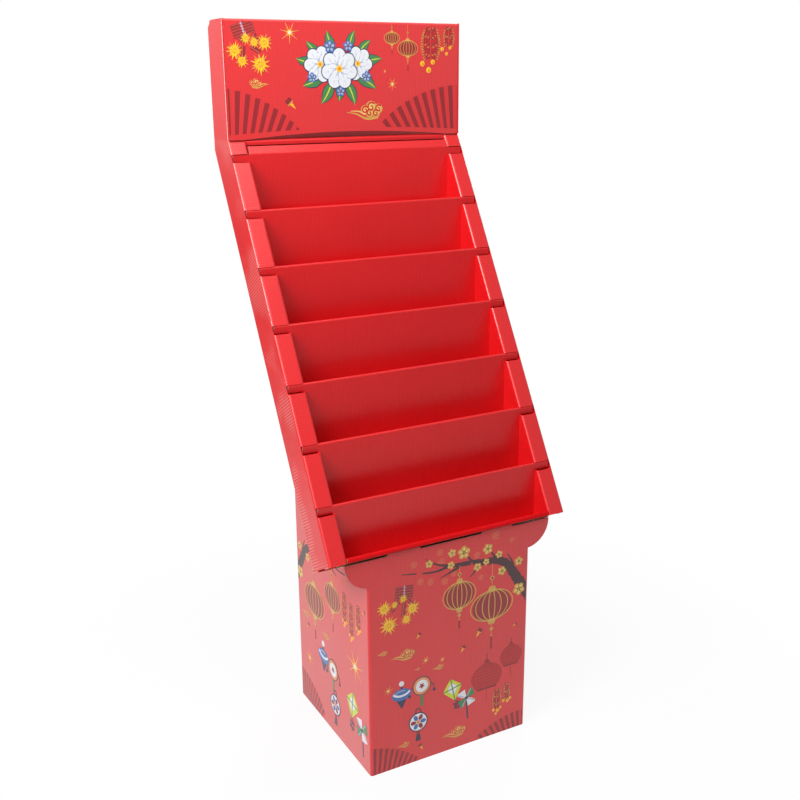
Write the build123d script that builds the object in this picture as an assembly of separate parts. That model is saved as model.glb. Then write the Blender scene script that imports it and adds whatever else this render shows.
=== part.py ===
from build123d import *
import os
from math import cos, radians, sin, tan

os.makedirs("parts", exist_ok=True)

# Driving dimensions of the stand, in millimetres and degrees
board = 4.0                  # thickness of the corrugated board
crease_radius = 2.0          # inside radius of a crease
hem_gap = 1.0                # gap between the two plies of a doubled edge
hem_fullness = 0.96          # roundness of a doubled edge, where 1 is a half circle
fit = 0.3                    # clearance between pieces that slot together

overall_height = 1700.0
base_width = 434.0
base_depth = 407.0
bottom_tuck = 70.0           # height of the flap that tucks up behind the base front, and of the hinge

ear_overlap = 4.0            # each ear ends this far past the tray floor's end
ear_height = 70.0
ear_bulge = 18.0             # rise of the ear's rounded edge over its chord
seat_slot_depth = 4.5        # shallow slots in the top edge of the base front
end_slot_length = 104.7
middle_slot_length = 164.0

tray_width = 623.0
tray_depth = 100.0           # front plane to back face, square to the lean
tray_lean = 30.0             # lean of the tray from upright
tray_height = 869.0          # tray's lower front edge up to the header's lower edge
front_overhang = 9.2         # the same edge stands this far in front of the base
column_width = 44.0          # front flange of each side column
foot_notch_length = 42.0     # lock notch in the lower end of each outer side
foot_notch_height = 3.0
low_lip_height = 12.0        # front lip at the tray's lower end
low_hem_depth = 7.0

shelf_count = 6
lowest_lip_rise = 112.5      # lowest shelf lip above the tray's lower front edge
top_lip_drop = 31.0          # top lip below the header's lower edge
tab_height = 18.0            # end tabs that hook the lips into the columns
notch_skin = 1.2             # outer layer of the corner fold left whole at the end of a notch
tab_end_gap = 3.0            # space left between a tab and the end of its notch
floor_seat = 2.0             # pocket floor above the lower end of the panel behind it

header_height = 266.0
header_lip_height = 12.0     # turned-down front lip of the header floor
header_lip_setback = 1.0
header_tuck = 45.0           # flap of the header card that tucks in behind the top
tuck_ease = 5.0              # the tuck flap is narrower by this at each end
arch_rise = 13.0             # arch of the header's lower edge between the columns
arch_turn = 45.0             # lean from upright of the strip that is turned in along the arch
band_gap = 2.5               # slit between the leaning band and the header floor's lip
corner_cut_depth = 30.0      # cut-off rear top corner of each header side
corner_cut_height = 19.0

# Values that follow from the driving dimensions
lean = radians(tray_lean)
crease = crease_radius + board / 2
hem_step = board + hem_gap
hem = hem_fullness * hem_step / 2

base_front = -base_depth / 2
base_back = base_depth / 2
tray_front = base_front - front_overhang
header_bottom = overall_height - header_height
tray_rise = header_bottom - tray_height
header_front = tray_front + tray_height * tan(lean)
header_back = header_front + tray_depth

column_inner = tray_width / 2 - column_width
shelf_half = column_inner - fit
ear_width = shelf_half + ear_overlap - base_width / 2
header_half = tray_width / 2 - board - fit
notch_end = tray_width / 2 - notch_skin
tab_end = notch_end - tab_end_gap
column_top = header_bottom - board - fit

lowest_lip = tray_rise + lowest_lip_rise
top_lip = header_bottom - top_lip_drop
lip_pitch = (top_lip - lowest_lip) / shelf_count
panel_drop = (tray_depth - board - board * cos(lean) - fit) / sin(lean)

# The tray's own frame: X across, Y square to the lean and backwards, Z up the lean
tray_corner = (0, tray_front, tray_rise)
tray_section = Plane(origin=tray_corner, x_dir=(1, 0, 0), z_dir=(0, sin(lean), cos(lean)))
tray_profile = Plane(origin=tray_corner, x_dir=(0, cos(lean), -sin(lean)), z_dir=(1, 0, 0))
bend_plane = Plane(
    origin=(0, header_front, header_bottom),
    x_dir=(1, 0, 0),
    z_dir=(0, sin(lean / 2), cos(lean / 2)),
)


def lip_height(index):
    """Height of a lip's top edge, 0 for the top back panel and then downwards."""
    return top_lip - index * lip_pitch


def lip_front(index):
    """Y of a lip's front face, where its top edge meets the tray's front plane."""
    return tray_front + (lip_height(index) - tray_rise) * tan(lean)


def tray_floor_level(y):
    """Height that clears the tray's slanted floor board at a given Y."""
    return tray_rise + (board + fit - (y - tray_front) * sin(lean)) / cos(lean)


def folded_section(points, radii):
    """Section of a folded board, drawn along the middle of its thickness."""
    return trace(FilletPolyline(*points, radius=radii), board)


def folded_run(points, radii, half_width, plane=Plane.YZ):
    """A folded board whose section runs across the stand to both sides."""
    return extrude(plane * folded_section(points, radii), amount=half_width, both=True)


def end_tabs(section):
    """Tabs of a given section, from the edges of a shelf out into both columns."""
    tab = extrude(Plane.YZ * section, amount=tab_end - shelf_half)
    tab = Pos(shelf_half, 0, 0) * tab
    return tab + mirror(tab, about=Plane.YZ)


def block(x_range, y_range, z_range):
    """A box between given limits, used to cut boards to shape."""
    size = [high - low for low, high in (x_range, y_range, z_range)]
    middle = [(high + low) / 2 for low, high in (x_range, y_range, z_range)]
    return Pos(*middle) * Box(*size)


def both_sides(solid):
    """A cutting solid and its mirror image on the other side of the stand."""
    return solid + mirror(solid, about=Plane.YZ)


def ear_outline():
    """An ear's outline from the base's corner: X along the reach, Y up from the lowest point."""
    rounded = SagittaArc((0, 0), (ear_width, ear_height), -ear_bulge)
    edges = [rounded, Line((ear_width, ear_height), (0, ear_height)), Line((0, ear_height), (0, 0))]
    return make_face(Curve() + edges)


def build_base():
    """Base: square tube with ears on its front, a V-shaped seat and a tucked bottom."""
    half = base_width / 2
    back_rise = ((front_overhang + base_depth) * cos(lean) - tray_depth) / sin(lean)
    blank_height = tray_rise + back_rise + tray_depth
    outer = RectangleRounded(base_width, base_depth, crease_radius + board)
    inner = RectangleRounded(base_width - 2 * board, base_depth - 2 * board, crease_radius)
    tube = extrude(outer - inner, amount=blank_height)

    # Bottom panel, hinged on the back and tucked up behind the front
    bottom_half = half - board - fit
    tuck_middle = base_front + board + fit + board / 2
    back_middle = base_back - board / 2
    hinge_y = (base_back - 2 * board, base_back + board)
    tube -= block((-bottom_half, bottom_half), hinge_y, (-board, bottom_tuck))
    bottom_points = [
        (back_middle, bottom_tuck),
        (back_middle, board / 2),
        (tuck_middle, board / 2),
        (tuck_middle, bottom_tuck),
    ]
    tube += folded_run(bottom_points, crease, bottom_half)

    # Ears: flat extensions of the front, cut out of the side panels behind the corner fold
    ear_top = tray_rise - front_overhang * tan(lean) - fit / cos(lean)
    ear_foot = ear_top - ear_height
    ear_shape = ear_outline()
    behind_front = base_front + board
    window_plane = Plane(origin=(half - 2 * board, behind_front, ear_foot), x_dir=(0, 1, 0), z_dir=(1, 0, 0))
    tube -= both_sides(extrude(window_plane * ear_shape, amount=3 * board))
    ear_plane = Plane(origin=(half, behind_front, ear_foot), x_dir=(1, 0, 0), z_dir=(0, -1, 0))
    tube += both_sides(extrude(ear_plane * ear_shape, amount=board))
    corner_fill = block((half - 2 * board, half), (base_front, behind_front), (ear_foot, ear_top))
    tube += both_sides(corner_fill)

    # V-shaped seat for the tray's lower end and back
    seat = Box(
        2 * tray_width,
        2 * overall_height,
        2 * overall_height,
        align=(Align.CENTER, Align.MAX, Align.MIN),
    )
    tube -= tray_section.location * Pos(0, tray_depth + fit, -fit) * seat

    # Shallow slots in the top edge of the front
    slot_y = (base_front - board, behind_front)
    slot_z = (ear_top - seat_slot_depth, ear_top + board)
    ear_end = half + ear_width
    tube -= both_sides(block((ear_end - end_slot_length, ear_end + board), slot_y, slot_z))
    middle_half = middle_slot_length / 2
    tube -= block((-middle_half, middle_half), slot_y, slot_z)
    return tube


def build_tray_body():
    """Tray: back, sides and hollow front columns in one sheet, with a bend at the header."""
    side = tray_width / 2 - board / 2
    back = tray_depth - board / 2
    wall = column_inner + board / 2
    wall_end = tray_depth - board - fit
    column = [(wall, wall_end), (wall, board / 2), (side, board / 2), (side, back)]
    mirrored = [(-x, y) for x, y in reversed(column)]
    length = tray_height / cos(lean) + tray_depth
    lower = extrude(tray_section * folded_section(column + mirrored, crease), amount=length)
    lower = split(lower, bisect_by=bend_plane, keep=Keep.BOTTOM)

    upper_origin = (0, header_front, overall_height)
    upper_section = Plane(origin=upper_origin, x_dir=(1, 0, 0), z_dir=(0, 0, -1))
    channel = [(side, 0), (side, -back), (-side, -back), (-side, 0)]
    upper = extrude(upper_section * folded_section(channel, crease), amount=header_height + tray_depth)
    upper = split(upper, bisect_by=bend_plane, keep=Keep.TOP)

    # Columns stop level under the header floor
    inside = tray_width / 2 - board
    head_y = (tray_front, header_back - board)
    head_room = block((-inside, inside), head_y, (column_top, overall_height + board))
    body = (lower - head_room) + upper

    # Notches for the lips' end tabs, open to the front
    for index in range(shelf_count + 1):
        plies = board if index == 0 else board + hem_step
        notch_back = lip_front(index) + plies + fit
        notch_y = (notch_back - tray_depth / 2, notch_back)
        notch_z = (lip_height(index) - tab_height - fit, lip_height(index) + fit)
        body -= both_sides(block((column_inner - board, notch_end), notch_y, notch_z))

    # Lock notches in the lower ends of the outer sides
    notch = Box(tray_width + board, foot_notch_length, 2 * foot_notch_height)
    body -= tray_section.location * Pos(0, tray_depth / 2, 0) * notch

    # Cut-off rear top corners of the header sides
    corner = Polygon(
        (header_back, overall_height),
        (header_back - corner_cut_depth, overall_height),
        (header_back, overall_height - corner_cut_height),
        align=None,
    )
    outer_board = extrude(Plane.YZ * corner, amount=board + crease_radius)
    body -= both_sides(Pos(tray_width / 2 - board - crease_radius, 0, 0) * outer_board)
    return body


def build_tray_floor():
    """Lower end of the tray: floor board and low front lip with a turned-in hem."""
    lip_top = low_lip_height - board / 2
    points = [
        (tray_depth - board - fit, board / 2),
        (board / 2, board / 2),
        (board / 2, lip_top),
        (board / 2 + hem_step, lip_top),
        (board / 2 + hem_step, low_lip_height - low_hem_depth),
    ]
    return folded_run(points, [crease, hem, hem], shelf_half, tray_profile)


def build_top_back_panel():
    """Back of the top pocket: upright panel with end tabs and a band that leans back."""
    front = lip_front(0) + board / 2
    crease_z = lip_height(0) - board / 2 * tan(lean / 2)
    foot = (front, lip_height(0) - panel_drop)
    rise = header_bottom - header_lip_height - band_gap - lip_height(0)
    band_end = (front + rise * tan(lean), crease_z + rise)
    panel = folded_run([foot, (front, crease_z), band_end], crease, shelf_half)
    tab_top = crease_z - crease * tan(lean / 2)
    tab_line = Line((front, lip_height(0) - tab_height), (front, tab_top))
    return panel + end_tabs(trace(tab_line, board))


def build_shelf(index):
    """Shelf: front panel, doubled lip with end tabs, inner lip and pocket floor."""
    front = lip_front(index) + board / 2
    inner = front + hem_step
    top = lip_height(index) - board / 2
    foot = max(lip_height(index) - panel_drop, tray_floor_level(lip_front(index)))
    floor = lip_height(index - 1) - panel_drop + floor_seat + board / 2
    floor_end = lip_front(index - 1) - fit
    points = [(front, foot), (front, top), (inner, top), (inner, floor), (floor_end, floor)]
    shelf = folded_run(points, [hem, hem, crease], shelf_half)
    tab_foot = lip_height(index) - tab_height
    tab_points = [(front, tab_foot), (front, top), (inner, top), (inner, tab_foot)]
    return shelf + end_tabs(folded_section(tab_points, hem))


def build_header_floor():
    """Floor of the header, laid on the columns, with a turned-down front lip between them."""
    lip = header_front + header_lip_setback + board / 2
    level = header_bottom - board / 2
    rear = header_back - board - fit
    points = [(lip, header_bottom - header_lip_height), (lip, level), (rear, level)]
    floor = folded_run(points, crease, shelf_half)
    wing_y = (header_front + board + fit, rear - crease_radius)
    wing = block((shelf_half, header_half), wing_y, (header_bottom - board, header_bottom))
    return floor + both_sides(wing)


def arch_line(lift):
    """Arch between the columns, lifted above the header card's lower edge."""
    foot = header_bottom + fit + lift
    return ThreePointArc((-column_inner, foot), (0, foot + arch_rise), (column_inner, foot))


def build_turned_strip():
    """Strip below the header front, turned in along the arch and down to the header floor."""
    foot = header_bottom + fit
    turn = radians(arch_turn)
    ply = board / sin(turn)
    ends = [Line((x, foot), (x, foot + ply)) for x in (-column_inner, column_inner)]
    edge = make_face(Curve() + [arch_line(0), arch_line(ply)] + ends)
    front_plane = Plane(origin=(0, header_front, 0), x_dir=(1, 0, 0), z_dir=(0, -1, 0))
    reach = (arch_rise + ply + board) / cos(turn)
    strip = extrude(front_plane * edge, amount=reach, dir=(0, sin(turn), -cos(turn)))
    below = (foot - 2 * reach, foot)
    return strip - block((-tray_width, tray_width), (header_front - board, header_back), below)


def build_header_card():
    """Header front with an arched lower edge, folded over into the top and a rear tuck flap."""
    front = header_front + board / 2
    top = overall_height - board / 2
    rear = header_back - board - fit - board / 2
    foot = header_bottom + fit
    points = [(front, foot), (front, top), (rear, top), (rear, overall_height - header_tuck)]
    card = folded_run(points, crease, header_half)
    opening = make_face(Curve() + [arch_line(0), Line((column_inner, foot), (-column_inner, foot))])
    cut_plane = Plane(origin=(0, header_front + 2 * board, 0), x_dir=(1, 0, 0), z_dir=(0, -1, 0))
    card -= extrude(cut_plane * opening, amount=3 * board)
    card += build_turned_strip()
    flap_half = header_half - tuck_ease
    flap_y = (rear - board, header_back)
    return card - both_sides(block((flap_half, tray_width), flap_y, (foot, overall_height + board)))


export_step(build_base(), "parts/base_wrap.step")
export_step(build_tray_body(), "parts/tray_body.step")
export_step(build_tray_floor(), "parts/tray_floor.step")
export_step(build_top_back_panel(), "parts/top_back_panel.step")
for number in range(1, shelf_count + 1):
    export_step(build_shelf(number), f"parts/shelf_{number}.step")
export_step(build_header_floor(), "parts/header_floor.step")
export_step(build_header_card(), "parts/header_card.step")
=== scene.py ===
import math
from functools import cached_property

import bmesh
import bpy
from bpy.props import FloatProperty, FloatVectorProperty, PointerProperty
from mathutils import Matrix, Vector
from mathutils.geometry import interpolate_bezier


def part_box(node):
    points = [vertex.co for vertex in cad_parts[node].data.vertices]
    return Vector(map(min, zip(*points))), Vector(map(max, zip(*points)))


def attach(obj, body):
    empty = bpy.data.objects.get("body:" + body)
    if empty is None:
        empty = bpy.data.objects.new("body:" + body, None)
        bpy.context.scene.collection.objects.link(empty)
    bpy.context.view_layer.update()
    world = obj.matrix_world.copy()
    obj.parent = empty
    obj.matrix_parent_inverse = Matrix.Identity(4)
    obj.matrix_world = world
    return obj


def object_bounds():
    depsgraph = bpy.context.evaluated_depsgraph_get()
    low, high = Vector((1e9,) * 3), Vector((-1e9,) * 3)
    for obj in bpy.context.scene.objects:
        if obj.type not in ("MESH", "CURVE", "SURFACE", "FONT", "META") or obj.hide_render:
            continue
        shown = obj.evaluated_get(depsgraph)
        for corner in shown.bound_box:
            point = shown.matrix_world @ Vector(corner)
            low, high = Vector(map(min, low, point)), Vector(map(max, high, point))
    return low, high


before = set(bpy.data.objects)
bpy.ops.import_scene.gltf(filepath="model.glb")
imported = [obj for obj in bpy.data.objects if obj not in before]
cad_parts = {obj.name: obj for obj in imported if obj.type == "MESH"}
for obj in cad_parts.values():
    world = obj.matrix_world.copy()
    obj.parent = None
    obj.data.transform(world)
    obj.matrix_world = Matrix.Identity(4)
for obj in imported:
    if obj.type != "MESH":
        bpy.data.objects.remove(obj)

bl_info = {
    "name": "Cardboard Display Stand",
    "version": (1, 0, 0),
    "blender": (4, 5, 0),
    "location": "View3D > Sidebar > Display Stand",
    "description": "Finishes, prints and photographs a leaning tray stand of folded corrugated board",
    "category": "Object",
}

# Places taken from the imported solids, in metres.
CAD_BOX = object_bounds()
BASE_LO, BASE_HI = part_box("base_wrap")
TRAY_LO, TRAY_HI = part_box("tray_body")
HEADER_LO, HEADER_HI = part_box("header_card")

# Sizes that the boxes of whole pieces don't give, in metres.
MM = 0.001
BOARD = 4.0 * MM
HAIR = 0.4 * MM
FOLD = 6.0 * MM
BASE_HALF = 217.0 * MM
TRAY_LEAN = math.radians(30.0)
TRAY_DEPTH = 100.0 * MM
COLUMN_WIDTH = 44.0 * MM

# The tray's own directions: up its slope, and out through its back.
UP_SLOPE = Vector((0.0, math.sin(TRAY_LEAN), math.cos(TRAY_LEAN)))
OUT_BACK = Vector((0.0, math.cos(TRAY_LEAN), -math.sin(TRAY_LEAN)))
TRAY_TOE = Vector((0.0, TRAY_LO.y, TRAY_LO.z + TRAY_DEPTH * math.sin(TRAY_LEAN)))

# The way the flutes count off across each kind of panel.
ACROSS_PANEL = (1.0, 1.0, 0.0)
ACROSS_SHELF = (1.0, 0.0, 0.0)
ACROSS_TRAY = tuple(UP_SLOPE)

# How far the patches of stronger flutes, and of the highlight painted on them, are moved, so that they fall
# where the tray shows them.
PATCH_SHIFT = tuple(-0.187 * UP_SLOPE)

SHELVES = [f"shelf_{number}" for number in range(1, 7)]

# Least share of a direction in a face's normal, for the face to count as turned that way.
ARCH_UNDER = 0.4
ASLANT = 0.5
SQUARE_ON = 0.7
LOW_EDGE = 0.8
DEAD_ON = 0.9
FLAT_ON = 0.96

# Noise scales, in features to the metre.
DRIFT, GRAIN = 7.0, 620.0
PATCHES, BUCKLES = 9.0, 2.6
FIBRES = 900.0
RAGGED, WHOLE = 260.0, 34.0

# Roughness of bare and worn board, and the share of the board's bloom that the inks show.
RAW_ROUGHNESS, WORN_ROUGHNESS = 0.9, 0.85
INK_VEIL = 0.3

# How much the ribs tint the film, how deep it buckles against a rib's height, and the strength of a patch
# where the highlight painted on its ribs begins and where it is full.
RIB_TINT = 0.06
BUCKLE_DEPTH = 10.0
STREAK_FROM, STREAK_TO = 0.48, 0.66

# Cut edges: where the shadow begins, on the flutes' wave and as a share of the board, and how dark it is.
FLUTE_GAP, FLUTE_DARK = 0.2, 0.45
LIP_PLY, LIP_DARK = 0.25, 0.95

# The tray's floor: how far its underside is darkened by painted shade, and the refractive index of its
# film.
FLOOR_SHADE, FLOOR_INDEX = 0.85, 1.12

# How far down from the header's top the tray's upper rims lie.
RIM_DROP = 30.0 * MM

# Wear: the height at which a fold has lost its film, and for the edge beside the header its width against a
# fold's and the share of film that has held.
WEAR_HEIGHT = 1.55
RIM_WEAR, RIM_HELD = 3.4, 0.2

# Like shapes of a layer lie apart by this share of it, in so many steps.
LIKE_STEP, LIKE_STEPS = 0.016, 61

# Dark edging of the large petals, in millimetres.
PETAL_EDGING = 2.2


def tone(red, green, blue):
    """Scene colour of a screen colour given from 0 to 255."""

    def straight(value):
        share = value / 255.0
        return share / 12.92 if share <= 0.04045 else ((share + 0.055) / 1.055) ** 2.4

    return straight(red), straight(green), straight(blue)


def colour_property(name, description, screen):
    """A colour swatch whose default is a screen colour."""
    return FloatVectorProperty(
        name=name, description=description, subtype="COLOR", min=0.0, max=1.0, default=tone(*screen)
    )


def share_property(name, description, default):
    """A share, from none to all."""
    return FloatProperty(
        name=name, description=description, default=default, min=0.0, max=1.0, subtype="FACTOR"
    )


def length_property(name, description, default):
    """A length in metres."""
    return FloatProperty(name=name, description=description, default=default, min=0.0, unit="LENGTH")


def power_property(name, description, default):
    """A lamp's power in watts."""
    return FloatProperty(name=name, description=description, default=default, min=0.0, unit="POWER")


def angle_property(name, description, degrees):
    """An angle, given in degrees."""
    return FloatProperty(name=name, description=description, default=math.radians(degrees), subtype="ANGLE")


class StandFinish(bpy.types.PropertyGroup):
    """The board, its film and its wear."""

    red: colour_property("Red", "Solid red under the film", (212, 21, 26))
    kraft: colour_property("Kraft", "Unprinted liner and flutes", (176, 136, 96))
    # Liner is also the pale colour of the highlight painted on the tray's flutes.
    liner: colour_property("Liner", "White paper that shows where the film has worn", (240, 226, 220))
    film_index: FloatProperty(
        name="Film index", description="Refractive index of the film", default=1.52, min=1.0
    )
    film_roughness: share_property("Film roughness", "Roughness of the film", 0.34)
    mottle: share_property("Mottle", "Drift in the ink's tone", 0.10)
    flute_pitch: length_property("Flute pitch", "Distance between flutes", 6.6 * MM)
    flute_depth: length_property("Flute depth", "How far flutes show through", 0.10 * MM)
    wear_width: length_property("Wear width", "Width of worn film along a fold", 0.55 * MM)
    veil: share_property("Veil", "Dusty bloom on the base's printed film", 0.42)
    header_veil: share_property("Header veil", "Dusty bloom on the header's printed film", 0.60)
    under_shade: share_property("Under shade", "Depth of the shade under the header's arch", 0.58)
    # Share of pale liner painted on the tray's flutes as a highlight.
    painted_streak: share_property("Streak", "Light that the tray's flutes catch", 0.24)


class StandInks(bpy.types.PropertyGroup):
    """The inks of the print."""

    gold: colour_property("Gold", "Lantern ribs, clouds and petals", (205, 158, 74))
    pale_gold: colour_property("Pale gold", "Lights on petals and clouds", (232, 196, 108))
    faded_gold: colour_property("Faded gold", "Blossoms that lie further back", (214, 98, 66))
    bark: colour_property("Bark", "Branch and twigs", (66, 30, 36))
    maroon: colour_property("Maroon", "Lantern bodies and cracker tubes", (146, 24, 34))
    fan_stripe: colour_property("Fan stripe", "Dark folds of the fans", (142, 21, 30))
    fan_field: colour_property("Fan field", "Light folds of the fans", (210, 42, 45))
    red_line: colour_property("Red line", "Lines on gold", (196, 34, 30))
    shade: colour_property("Shade", "Hanging shapes that lie further back", (194, 22, 28))
    flame: colour_property("Flame", "Bursts and sparks", (240, 196, 30))
    ember: colour_property("Ember", "Spark tips", (232, 128, 40))
    white: colour_property("White", "Petals and toy bodies", (224, 227, 232))
    mist: colour_property("Mist", "Shading on white", (164, 176, 202))
    blue: colour_property("Blue", "Toys", (62, 104, 170))
    navy: colour_property("Navy", "Dark parts of toys", (44, 42, 72))
    green: colour_property("Green", "Leaves and toys", (62, 128, 70))
    lime: colour_property("Lime", "Light leaves and toys", (204, 212, 56))
    orange: colour_property("Orange", "Toys", (222, 142, 88))
    layer_step: length_property("Layer step", "Height from one ink to the next", 0.08 * MM)
    thickness: length_property("Ink thickness", "Depth of an ink, sunk into the board", 1.3 * MM)


class StandStage(bpy.types.PropertyGroup):
    """The floor, the lamps and the camera."""

    floor_half: length_property("Floor", "Half of the floor's side", 20.0)
    floor_white: share_property("Floor white", "Share of plain white in the floor close to the stand", 0.90)
    gloss_reach: length_property("Gloss reach", "How far round the stand the floor mirrors as white", 1.8)
    room_light: FloatProperty(
        name="Room", description="Strength of the even light all round", default=0.15, min=0.0
    )
    key_watts: power_property("Key", "Lamp at the front left", 8.0)
    top_watts: power_property("Top", "Lamp overhead", 27.0)
    side_watts: power_property("Side", "Lamp high at the left", 86.0)
    back_watts: power_property("Back", "Lamp at the back right", 60.0)
    camera_place: FloatVectorProperty(
        name="Camera", description="Where the camera stands", default=(-1.13114, -2.05621, 1.55092),
        subtype="XYZ", unit="LENGTH",
    )
    camera_yaw: angle_property("Yaw", "Turn to the right", 28.346)
    camera_pitch: angle_property("Pitch", "Tilt down", 16.890)
    camera_roll: angle_property("Roll", "Turn about the view", -0.483)
    camera_lens: FloatProperty(
        name="Lens", description="Focal length in millimetres", default=46.496, min=1.0
    )


# Materials.


class Graph:
    """A node tree, with short calls for the nodes that these materials use."""

    def __init__(self, tree):
        self.tree = tree

    def node(self, kind, **settings):
        made = self.tree.nodes.new(kind)
        for name, value in settings.items():
            setattr(made, name, value)
        return made

    def feed(self, socket, value):
        """Links a socket, or sets its own value."""
        if isinstance(value, bpy.types.NodeSocket):
            self.tree.links.new(value, socket)
        elif socket.type == "RGBA" and len(value) == 3:
            socket.default_value = (*value, 1.0)
        else:
            socket.default_value = value

    def group(self, shared, **values):
        made = self.node("ShaderNodeGroup", node_tree=shared)
        for name, value in values.items():
            self.feed(made.inputs[name], value)
        return made

    def maths(self, operation, *values):
        made = self.node("ShaderNodeMath", operation=operation)
        for socket, value in zip(made.inputs, values):
            self.feed(socket, value)
        return made.outputs[0]

    def dot(self, vector, direction):
        made = self.node("ShaderNodeVectorMath", operation="DOT_PRODUCT")
        self.feed(made.inputs[0], vector)
        self.feed(made.inputs[1], direction)
        return made.outputs["Value"]

    def parts(self, vector):
        made = self.node("ShaderNodeSeparateXYZ")
        self.feed(made.inputs[0], vector)
        return made.outputs

    def above(self, value, limit):
        return self.maths("GREATER_THAN", value, limit)

    def below(self, value, limit):
        return self.maths("LESS_THAN", value, limit)

    def size(self, value):
        return self.maths("ABSOLUTE", value)

    def both(self, *masks):
        found = masks[0]
        for mask in masks[1:]:
            found = self.maths("MULTIPLY", found, mask)
        return found

    def either(self, *masks):
        found = masks[0]
        for mask in masks[1:]:
            found = self.maths("MAXIMUM", found, mask)
        return found

    def noise(self, vector, scale, detail=2.0):
        made = self.node("ShaderNodeTexNoise")
        self.feed(made.inputs["Vector"], vector)
        self.feed(made.inputs["Scale"], scale)
        self.feed(made.inputs["Detail"], detail)
        return made.outputs["Fac"]

    def centred(self, value, share):
        """A noise about one half, turned into a swing of that share about zero."""
        return self.maths("MULTIPLY", self.maths("SUBTRACT", value, 0.5), share)

    def blend(self, mask, under, over):
        """Colours or values, the second where the mask is one."""
        colours = not isinstance(under, float) and getattr(under, "type", "RGBA") == "RGBA"
        made = self.node("ShaderNodeMix", data_type="RGBA" if colours else "FLOAT")
        kind = "RGBA" if colours else "VALUE"
        first, second = [s for s in made.inputs if s.type == kind and s.name in "AB"]
        self.feed(made.inputs[0], mask)
        self.feed(first, under)
        self.feed(second, over)
        return next(s for s in made.outputs if s.type == kind)


class Surface(Graph):
    """A new material: its node tree, where each point lies and faces, and the way its flutes count off."""

    def __init__(self, name, across=ACROSS_PANEL):
        self.material = bpy.data.materials.new(name)
        self.material.use_nodes = True
        super().__init__(self.material.node_tree)
        self.tree.nodes.clear()
        self.across = across
        seen = self.node("ShaderNodeTexCoord").outputs
        self.place, self.facing = seen["Object"], seen["Normal"]

    @cached_property
    def spots(self):
        """The place, split into x, y and z."""
        return self.parts(self.place)

    @cached_property
    def turns(self):
        """The facing, split into x, y and z."""
        return self.parts(self.facing)


def shared_group(name, inputs, outputs):
    """An empty node group with named sockets: (graph, its inputs, its outputs)."""
    tree = bpy.data.node_groups.new(name, "ShaderNodeTree")
    kinds = {"vector": "NodeSocketVector", "colour": "NodeSocketColor", "value": "NodeSocketFloat"}
    for label, kind in inputs.items():
        tree.interface.new_socket(name=label, in_out="INPUT", socket_type=kinds[kind])
    for label, kind in outputs.items():
        tree.interface.new_socket(name=label, in_out="OUTPUT", socket_type=kinds[kind])
    graph = Graph(tree)
    return graph, graph.node("NodeGroupInput").outputs, graph.node("NodeGroupOutput").inputs


def once(name, build):
    """The node group of that name, built the first time that it is asked for."""
    return bpy.data.node_groups.get(name) or build(name)


def build_film(name):
    """Ink under a glossy film: its tone drifts over a hand's width and is grained by the press."""
    graph, given, put = shared_group(
        name, {"Vector": "vector", "Ink": "colour", "Mottle": "value", "Gloss": "value", "Ribs": "value"},
        {"Color": "colour", "Roughness": "value"},
    )
    drift = graph.noise(given["Vector"], DRIFT)
    grain = graph.noise(given["Vector"], GRAIN, 1.0)
    swing, specks = graph.centred(drift, given["Mottle"]), graph.centred(grain, given["Mottle"])
    ribs = graph.maths("MULTIPLY", given["Ribs"], RIB_TINT)
    level = graph.maths("ADD", graph.maths("ADD", swing, specks), graph.maths("ADD", ribs, 1.0))
    shaded = graph.node("ShaderNodeHueSaturation")
    graph.feed(shaded.inputs["Color"], given["Ink"])
    graph.feed(shaded.inputs["Value"], level)
    graph.feed(put["Color"], shaded.outputs["Color"])
    uneven = graph.maths("ADD", graph.centred(drift, 0.16), graph.centred(grain, 0.08))
    graph.feed(put["Roughness"], graph.maths("ADD", given["Gloss"], uneven))
    return graph.tree


def build_flutes(name):
    """The corrugation that shows through the liner as faint ribs, stronger here and weaker there.

    Ribs is their swing about zero, and Streak the mask, in patches along their crests, where a highlight is
    painted in.
    """
    graph, given, put = shared_group(
        name, {"Vector": "vector", "Across": "vector", "Pitch": "value"},
        {"Height": "value", "Ribs": "value", "Streak": "value"},
    )
    count = graph.maths("DIVIDE", graph.dot(given["Vector"], given["Across"]), given["Pitch"])
    wave = graph.maths("SINE", graph.maths("MULTIPLY", count, math.tau))
    moved = graph.node("ShaderNodeVectorMath", operation="ADD")
    graph.feed(moved.inputs[0], given["Vector"])
    graph.feed(moved.inputs[1], PATCH_SHIFT)
    patchy = graph.noise(moved.outputs["Vector"], PATCHES)
    buckle = graph.maths("MULTIPLY", graph.noise(given["Vector"], BUCKLES, 1.0), BUCKLE_DEPTH)
    ribs = graph.maths("MULTIPLY", wave, patchy)
    graph.feed(put["Height"], graph.maths("ADD", ribs, buckle))
    graph.feed(put["Ribs"], ribs)
    lit = graph.node("ShaderNodeMapRange", interpolation_type="SMOOTHSTEP")
    lit.inputs["From Min"].default_value = STREAK_FROM
    lit.inputs["From Max"].default_value = STREAK_TO
    graph.feed(lit.inputs["Value"], patchy)
    graph.feed(put["Streak"], graph.both(lit.outputs["Result"], graph.maths("MAXIMUM", wave, 0.0)))
    return graph.tree


def build_raw_board(name):
    """Unprinted board: fibres, and shadow in the hollows of a cut edge."""
    graph, given, put = shared_group(
        name, {"Vector": "vector", "Paper": "colour", "Hollow": "value"}, {"Color": "colour"}
    )
    fibres = graph.centred(graph.noise(given["Vector"], FIBRES, 3.0), 0.5)
    shaded = graph.node("ShaderNodeHueSaturation")
    graph.feed(shaded.inputs["Color"], given["Paper"])
    level = graph.maths("SUBTRACT", graph.maths("ADD", fibres, 1.0), given["Hollow"])
    graph.feed(shaded.inputs["Value"], level)
    graph.feed(put["Color"], shaded.outputs["Color"])
    return graph.tree


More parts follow.
